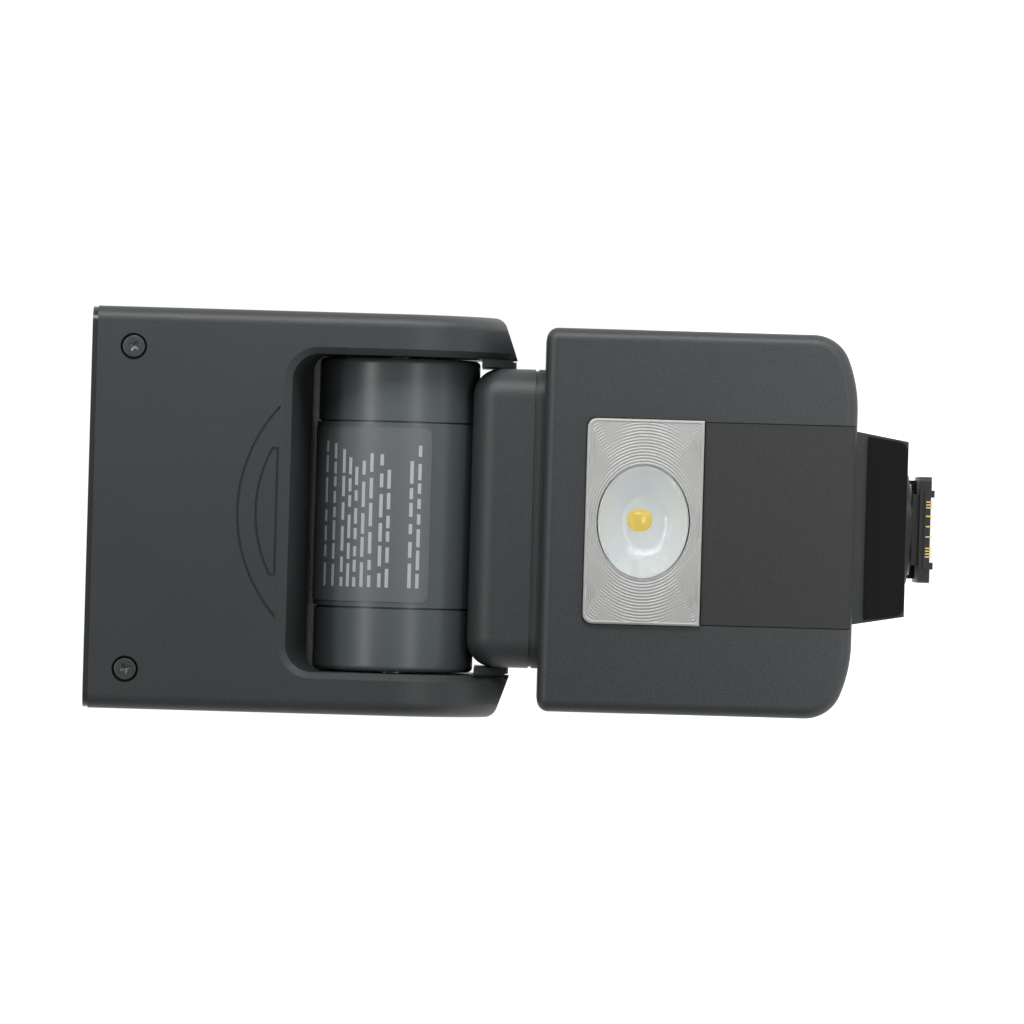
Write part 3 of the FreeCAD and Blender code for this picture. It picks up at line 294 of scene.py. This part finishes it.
def sky(behind, ahead):
    """A white studio whose light is `behind` beyond the flash and `ahead` on the side of its LED."""
    world = bpy.data.worlds.new("studio")
    world.use_nodes = True
    nodes, links = world.node_tree.nodes, world.node_tree.links
    parts = nodes.new("ShaderNodeSeparateXYZ")
    ramp = nodes.new("ShaderNodeMapRange")
    for socket, value in (("From Min", -0.5), ("From Max", 0.5), ("To Min", ahead), ("To Max", behind)):
        ramp.inputs[socket].default_value = value
    links.new(nodes.new("ShaderNodeTexCoord").outputs["Generated"], parts.inputs["Vector"])
    links.new(parts.outputs["Y"], ramp.inputs["Value"])
    links.new(ramp.outputs["Result"], nodes["Background"].inputs["Strength"])
    nodes["Background"].inputs["Color"].default_value = (1.0, 1.0, 1.0, 1.0)
    bpy.context.scene.world = world


def camera(distance, span, centre_x, centre_z, roll_degrees):
    """A long lens in front of the LED side, turned so that the head points left."""
    data = bpy.data.cameras.new("camera")
    data.sensor_width = 36.0
    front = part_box("head_bottom_cover")[0].y
    data.lens = data.sensor_width * distance / span
    view = bpy.data.objects.new("camera", data)
    turn = math.radians(roll_degrees)
    right = Vector((math.sin(turn), 0, -math.cos(turn)))
    up = Vector((math.cos(turn), 0, math.sin(turn)))
    back = Vector((0, -1, 0))
    frame_axes = Matrix((right, up, back)).transposed().to_4x4()
    view.matrix_world = Matrix.Translation((centre_x, front - distance, centre_z)) @ frame_axes
    data.clip_end = 20.0
    bpy.context.scene.collection.objects.link(view)
    bpy.context.scene.camera = view


MIDDLE = (cad_low + cad_high) / 2
bpy.context.scene.view_settings.view_transform = "Standard"
floor()
sky(1.05, 0.34)
soft_box("key", (0.145, -0.135, 0.085), 0.06, 0.3, 0.42)
soft_box("drum_strip", (0.05, -0.30, 0.35), 0.22, 0.05, 0.34)
soft_box("low_strip", (0.03, -0.30, -0.045), 0.2, 0.03, 0.16)
camera(1.25, 0.17632, 1.09 * MM, 73.8 * MM, 1.63)


# ---- pieces ----------------------------------------------------------------------------------

def piece(name, points, faces, look, body, slot, replaced=(), sharp_degrees=35, bright_faces=None):
    """A mesh piece in millimetres that rides on a body; bright_faces maps a second look to faces."""
    mesh = bpy.data.meshes.new(name)
    mesh.from_pydata([Vector(point) * MM for point in points], [], faces)
    mesh.materials.append(MATERIALS[look])
    if bright_faces:
        second, chosen = bright_faces
        mesh.materials.append(MATERIALS[second])
        for index in chosen:
            mesh.polygons[index].material_index = 1
    shell = bmesh.new()
    shell.from_mesh(mesh)
    bmesh.ops.recalc_face_normals(shell, faces=shell.faces)
    shell.to_mesh(mesh)
    shell.free()
    mesh.shade_smooth()
    mesh.set_sharp_from_angle(angle=math.radians(sharp_degrees))
    thing = bpy.data.objects.new(name, mesh)
    bpy.context.scene.collection.objects.link(thing)
    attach(thing, body)
    if replaced:
        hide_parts(*replaced)
    return thing


def rings_mesh(rings, closed_start=True, closed_end=True):
    """Points and faces of a skin through equal rings, with each end closed by a cap."""
    count = len(rings[0])
    points = [point for ring in rings for point in ring]
    faces = []
    for step in range(len(rings) - 1):
        for turn in range(count):
            after = (turn + 1) % count
            faces.append((step * count + turn, step * count + after,
                          (step + 1) * count + after, (step + 1) * count + turn))
    if closed_start:
        faces.append(tuple(range(count)))
    if closed_end:
        faces.append(tuple(range((len(rings) - 1) * count, len(rings) * count)))
    return points, faces


def join(*parts):
    """Several points-and-faces pairs as one."""
    points, faces = [], []
    for some_points, some_faces in parts:
        start = len(points)
        points.extend(some_points)
        faces.extend(tuple(start + index for index in face) for face in some_faces)
    return points, faces


def rounded_plan(half_x, half_y, radius, steps=8):
    """A rounded rectangle's outline about the origin."""
    radius = min(radius, half_x, half_y)
    outline = []
    for corner, (side_x, side_y) in enumerate(((1, 1), (-1, 1), (-1, -1), (1, -1))):
        for step in range(steps + 1):
            angle = math.pi / 2 * (corner + step / steps)
            outline.append((side_x * (half_x - radius) + radius * math.cos(angle),
                            side_y * (half_y - radius) + radius * math.sin(angle)))
    return outline


def pad(place_x, place_z, half_x, half_z, radius, start_y, end_y, soft, steps=5):
    """A rounded pad that grows from start_y to end_y along +Y or -Y, its outer edge softened."""
    way = 1 if end_y > start_y else -1
    levels = [(start_y, 0.0)]
    for step in range(steps + 1):
        angle = math.pi / 2 * step / steps
        levels.append((end_y - way * soft * (1 - math.sin(angle)), soft * (1 - math.cos(angle))))
    rings = [[(place_x + x, y, place_z + z)
              for x, z in rounded_plan(half_x - inset, half_z - inset, max(radius - inset, 0.05))]
             for y, inset in levels]
    return rings_mesh(rings)


LENS_X, LENS_Z = 9.85, 8.0
LENS_CENTRE = 51.1
RIDGE_PITCH = 0.054
lamp_low, lamp_high = (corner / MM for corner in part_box("led_window"))


def lamp_edge(angle, inset=0.0, corner=1.6):
    """How far the light window's edge is along an angle, in lens radii; two corners are rounded."""
    across, along = LENS_X * math.cos(angle), LENS_Z * math.sin(angle)
    low, high = 0.0, 4.0
    for _ in range(30):
        reach = (low + high) / 2
        x, z = abs(across * reach), LENS_CENTRE + along * reach
        edge_x = lamp_high.x - inset
        inside = x < edge_x and lamp_low.z + inset < z < lamp_high.z - inset
        round_x, round_z = edge_x - corner, lamp_high.z - inset - corner
        if inside and x > round_x and z > round_z:
            inside = math.hypot(x - round_x, z - round_z) < corner
        low, high = (reach, high) if inside else (low, reach)
    return low


def light_window():
    """The ribbed clear window: ridges around the lens, a bright bevel, and a shallow dome over the bowl."""
    angles = [2 * math.pi * step / 216 for step in range(216)]
    for side_x in (1, -1):
        for side_z in (lamp_low.z, lamp_high.z):
            corner = math.atan2((side_z - LENS_CENTRE) / LENS_Z, side_x * lamp_high.x / LENS_X)
            angles.append(corner % (2 * math.pi))
    angles = sorted(angles)
    rings = []
    face_y = lamp_low.y

    def ring(reach_of, height_of):
        rings.append([(LENS_X * math.cos(angle) * reach_of(angle), height_of(reach_of(angle), angle),
                       LENS_CENTRE + LENS_Z * math.sin(angle) * reach_of(angle)) for angle in angles])

    for reach in (0.02, 0.2, 0.4, 0.6, 0.8, 0.92, 0.96):
        ring(lambda angle, reach=reach: reach, lambda reach, angle: face_y + 0.15 + 0.5 * reach ** 2)
    for reach, depth in ((0.975, 0.75), (0.99, 0.5), (1.01, 0.12), (1.03, 0.12)):
        ring(lambda angle, reach=reach: reach, lambda reach, angle, depth=depth: face_y + depth)
    ribs_from = len(rings)
    samples = 165
    for step in range(samples + 1):
        share = step / samples
        ring(lambda angle, share=share: 1.035 + (lamp_edge(angle, 0.55) - 1.035) * share,
             lambda reach, angle: face_y + 0.12 + 0.07 * (1 - math.cos(2 * math.pi * reach / RIDGE_PITCH)))
    ribs_to = len(rings)
    ring(lambda angle: lamp_edge(angle, 0.35), lambda reach, angle: face_y)
    ring(lambda angle: lamp_edge(angle, 0.12), lambda reach, angle: face_y + 0.1)
    ring(lambda angle: lamp_edge(angle), lambda reach, angle: face_y + 0.35)
    ring(lambda angle: lamp_edge(angle), lambda reach, angle: lamp_high.y)
    points, faces = rings_mesh(rings)
    count = len(angles)
    frosted = range((ribs_from - 1) * count, (ribs_to + 2) * count)
    piece("light_window", points, faces, "lamp_clear", "body", "lamp_clear", ("led_window",),
          sharp_degrees=60, bright_faces=("ribbed", frosted))


def light_bowl():
    """The smooth white dish behind the window, with its flat floor and outer skirt; its white material glows
    faintly, painted light that brightens it.
    """
    mouth_y, floor_y, back_y, block_x, block_z = -24.7, -19.95, -19.75, 11.2, 8.6
    turns = [2 * math.pi * step / 144 for step in range(144)]
    rings = []
    for reach, y in ((0.01, floor_y), (0.2, floor_y), (0.40, floor_y - 0.05)):
        rings.append((reach, y))
    for step in range(1, 13):
        share = step / 12
        rings.append((0.40 + 0.57 * share, floor_y - 0.05 + (mouth_y - floor_y + 0.05) * share ** 1.7))
    loops = [[(LENS_X * reach * math.cos(turn), y, LENS_CENTRE + LENS_Z * reach * math.sin(turn))
              for turn in turns] for reach, y in rings]
    for y in (mouth_y, back_y):
        loops.append([(block_x * math.cos(turn), y, LENS_CENTRE + block_z * math.sin(turn))
                      for turn in turns])
    piece("light_bowl", *rings_mesh(loops), "bowl", "body", "white_plastic", ("led_reflector",))


def light_chip():
    """The yellow phosphor dome on its small square base; its material glows faintly, painted light that
    brightens it.
    """
    centre_x, centre_z, top_y = 0.3, 51.6, -20.15
    base = pad(centre_x, centre_z, 1.9, 2.1, 1.85, -19.75, top_y, 0.1)
    turns = [2 * math.pi * step / 64 for step in range(64)]
    loops = []
    for step in range(10):
        lift = math.pi / 2 * step / 9.5
        wide, high = 1.75 * math.cos(lift), 1.95 * math.cos(lift)
        loops.append([(centre_x + wide * math.cos(turn), top_y - 0.9 * math.sin(lift),
                       centre_z + high * math.sin(turn)) for turn in turns])
    piece("light_chip", *join(base, rings_mesh(loops)), "chip", "body", "led_yellow", ("led_chip",))


def cross_screws():
    """The head's two countersunk screws, each with a cross recess."""
    cap_low, cap_high = (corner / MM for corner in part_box("head_screws"))
    radius, bevel, arm_half, arm_reach, arm_depth = 2.05, 0.3, 0.18, 0.95, 0.7
    middle_z = (cap_low.z + cap_high.z) / 2
    centres = ((cap_low.x + radius, middle_z), (cap_high.x - radius, middle_z))
    parts = []
    for count, (centre_x, centre_z) in enumerate(centres):
        twist = math.radians(20 + 37 * count)
        loops = []
        for step in range(37):
            reach = radius * step / 36 if step else 0.004
            loop = []
            for turn_step in range(144):
                turn = 2 * math.pi * turn_step / 144
                across = abs(reach * math.cos(turn - twist))
                along = abs(reach * math.sin(turn - twist))
                wide = arm_half + 0.10 * (1 - reach / radius)
                arm = min(across, along) < wide and max(across, along) < arm_reach
                depth = arm_depth - 0.35 * reach / arm_reach if arm else 0.0
                edge = max(0.0, reach - (radius - bevel)) / bevel
                loop.append((centre_x + reach * math.cos(turn), cap_low.y + depth + 0.28 * edge ** 2,
                             centre_z + reach * math.sin(turn)))
            loops.append(loop)
        loops.append([(x, cap_low.y + 1.6, z) for x, _, z in loops[-1]])
        parts.append(rings_mesh(loops))
    piece("cross_screws", *join(*parts), "screw", "head", "screw_black", ("head_screws",), sharp_degrees=40)


PIVOT_Y, PIVOT_Z, DRUM = -8.9, 94.0, 14.2


def on_drum(x, arc, lift):
    """A point on the drum: arc is millimetres round it, upward from the height of the pivot."""
    angle = arc / DRUM
    return (x, PIVOT_Y - (DRUM + lift) * math.cos(angle), PIVOT_Z + (DRUM + lift) * math.sin(angle))


def film(half_x, arc_low, arc_high, corner, lift, centre_x=0.0, rows=28, columns=4):
    """A thin film wrapped on the drum, its two lower corners rounded."""
    front, back = [], []
    for row in range(rows + 1):
        share = row / rows
        arc = arc_low + (arc_high - arc_low) * (share ** 1.5 if corner else share)
        cut = max(0.0, corner - (arc - arc_low))
        inset = corner - math.sqrt(max(corner ** 2 - cut ** 2, 0.0)) if cut else 0.0
        for column in range(columns + 1):
            x = centre_x + (half_x - inset) * (2 * column / columns - 1)
            front.append(on_drum(x, arc, lift))
            back.append(on_drum(x, arc, lift - 0.06))
    wide, total = columns + 1, (rows + 1) * (columns + 1)
    faces = []
    for row in range(rows):
        for column in range(columns):
            first = row * wide + column
            quad = (first, first + 1, first + wide + 1, first + wide)
            faces.append(quad)
            faces.append(tuple(total + index for index in reversed(quad)))
    rim = ([column for column in range(wide)] + [row * wide + columns for row in range(1, rows + 1)]
           + [rows * wide + column for column in range(columns - 1, -1, -1)]
           + [row * wide for row in range(rows - 1, 0, -1)])
    for here, after in zip(rim, rim[1:] + rim[:1]):
        faces.append((here, total + here, total + after, after))
    return front + back, faces


def drum_label():
    """The plain grey rating film, and the plain bars printed on it where text would be."""
    low = DRUM * math.asin((88.0 - PIVOT_Z) / DRUM)
    high = DRUM * math.pi / 2 * 0.985
    piece("drum_label", *film(15.1, low, high, 1.4, 0.12), "label", "neck", "label_grey", ("rating_label",))
    lines = ((-4.4, 5), (-3.0, 3), (0.9, 3), (2.2, 5), (4.0, 5), (5.4, 5), (6.8, 4), (8.1, 4), (9.5, 5),
             (11.6, 4), (14.0, 4))
    half, thick = 12.6, 0.6
    rules = []
    for arc, runs in lines:
        x = -half
        for _ in range(runs * 2):
            width = random.uniform(1.6, 4.4)
            if x + width > half:
                break
            rules.append(film(width / 2, arc, arc + thick, 0.0, 0.15, x + width / 2, rows=2, columns=1))
            x += width + random.uniform(0.5, 1.4)
    piece("label_rules", *join(*rules), "print", "neck", "label_grey")


SEGMENTS = {"a": (0, 1, 1), "b": (1, 0.5, 0), "c": (1, -0.5, 0), "d": (0, -1, 1), "e": (-1, -0.5, 0),
            "f": (-1, 0.5, 0), "g": (0, 0, 1)}
DIGITS = {"0": "abcdef", "1": "bc", "2": "abged", "4": "fgbc", "5": "afgcd", "8": "abcdefg"}


def digit(text, centre_x, centre_z, high, face_y):
    """A seven-segment digit seen from +Y, where +X is to the left."""
    parts = []
    half, bar = high / 2, high * 0.055
    wide = half * 0.55
    for name in DIGITS[text]:
        across, up, flat = SEGMENTS[name]
        place_x, place_z = centre_x - across * wide, centre_z + up * half
        size_x, size_z = (wide * 0.8, bar) if flat else (bar, half * 0.43)
        parts.append(pad(place_x, place_z, size_x, size_z, bar * 0.6,
                         face_y - 0.02, face_y + 0.03, 0.01, steps=1))
    return parts


def screen_print():
    """Generic figures, a level bar and rules on the rear screen."""
    low, high = (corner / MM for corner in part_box("lcd_window"))
    face = high.y
    middle_z = (low.z + high.z) / 2
    parts = []
    for text, place in (("1", 14.2), ("0", 9.2), ("5", 4.2)):
        parts += digit(text, place, middle_z + 1.5, 6.4, face)
    for text, place in (("2", -8.8), ("4", -12.4)):
        parts += digit(text, place, middle_z + 1.8, 5.0, face)
    for step in range(13):
        tall = 0.9 if step % 3 == 0 else 0.45
        parts.append(pad(15.0 - 2.5 * step, low.z + 3.0, 0.14, tall, 0.05,
                         face - 0.02, face + 0.03, 0.01, steps=1))
    parts.append(pad(0, high.z - 2.6, 16.5, 0.09, 0.05, face - 0.02, face + 0.03, 0.01, steps=1))
    piece("screen_print", *join(*parts), "lcd_ink", "body", "screen")


def control_marks():
    """A small raised bar or dot on each rear button, so that they differ by touch."""
    for name, bars in (("mode", 1), ("timer", 2), ("zoom", 3), ("back", 0)):
        low, high = (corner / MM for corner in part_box(f"{name}_button"))
        centre_x, centre_z = (low.x + high.x) / 2, (low.z + high.z) / 2
        if bars:
            parts = [pad(centre_x + (step - (bars - 1) / 2) * 1.1, centre_z, 0.16, 0.65, 0.12,
                         high.y - 0.05, high.y + 0.08, 0.04, steps=2) for step in range(bars)]
        else:
            parts = [pad(centre_x, centre_z, 1.0, 0.16, 0.12, high.y - 0.05, high.y + 0.08, 0.04, steps=2)]
        piece(f"{name}_mark", *join(*parts), "print", f"{name}_button", "label_grey")


def wheel_ring():
    """The control wheel with a milled rim, a dished face and its hub behind."""
    low, high = (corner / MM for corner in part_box("control_wheel"))
    centre_z, radius = (low.z + high.z) / 2, (high.x - low.x) / 2
    hole = 3.0
    turns = [2 * math.pi * step / 288 for step in range(288)]

    def loop(reach, y, milled=0.0):
        out = []
        for turn in turns:
            away = reach - milled * (0.5 - 0.5 * math.cos(48 * turn))
            out.append((away * math.cos(turn), y, centre_z + away * math.sin(turn)))
        return out

    front, back = low.y, high.y
    loops = [loop(hole, front), loop(5.2, front), loop(5.2, front + 0.9), loop(4.0, front + 0.9),
             loop(4.0, back - 1.3), loop(radius, back - 1.3, 0.18), loop(radius, back - 0.3, 0.18),
             loop(radius - 0.3, back - 0.02), loop(radius - 0.8, back), loop(radius - 1.8, back - 0.3),
             loop(hole + 0.3, back - 0.15), loop(hole, back - 0.35), loop(hole, front)]
    count = len(turns)
    points, faces = rings_mesh(loops[:-1], False, False)
    last = (len(loops) - 2) * count
    faces += [(last + turn, last + (turn + 1) % count, (turn + 1) % count, turn) for turn in range(count)]
    piece("wheel_ring", points, faces, "button", "control_wheel", "button_plastic", ("control_wheel",))


def flash_lens():
    """The clear flash window with its fine straight ribs on the inner face."""
    low, high = (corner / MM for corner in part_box("flash_window"))
    centre_y = (low.y + high.y) / 2
    plan = rounded_plan((high.x - low.x) / 2, (high.y - low.y) / 2, 1.2)

    def loop(z, inset):
        half_x, half_y = (high.x - low.x) / 2 - inset, (high.y - low.y) / 2 - inset
        return [(x, centre_y + y, z) for x, y in rounded_plan(half_x, half_y, 1.2)]

    shell = rings_mesh([loop(high.z - 1.2, 0.0), loop(high.z - 0.3, 0.0), loop(high.z - 0.08, 0.12),
                        loop(high.z, 0.35)])
    ribs = []
    count = 30
    span = (high.y - low.y - 2.4) / count
    for step in range(count):
        y = low.y + 1.2 + span * step
        ribs.append(([(x, y + dy, z) for x in (low.x + 1.2, high.x - 1.2)
                      for dy, z in ((0, high.z - 1.25), (span, high.z - 1.25), (span * 0.5, high.z - 1.75))],
                     [(0, 1, 2), (3, 5, 4), (0, 3, 4, 1), (1, 4, 5, 2), (2, 5, 3, 0)]))
    piece("flash_lens", *join(shell, *ribs), "flash_clear", "head", "flash_clear", ("flash_window",))


light_window()
light_bowl()
light_chip()
cross_screws()
drum_label()
screen_print()
control_marks()
wheel_ring()
flash_lens()
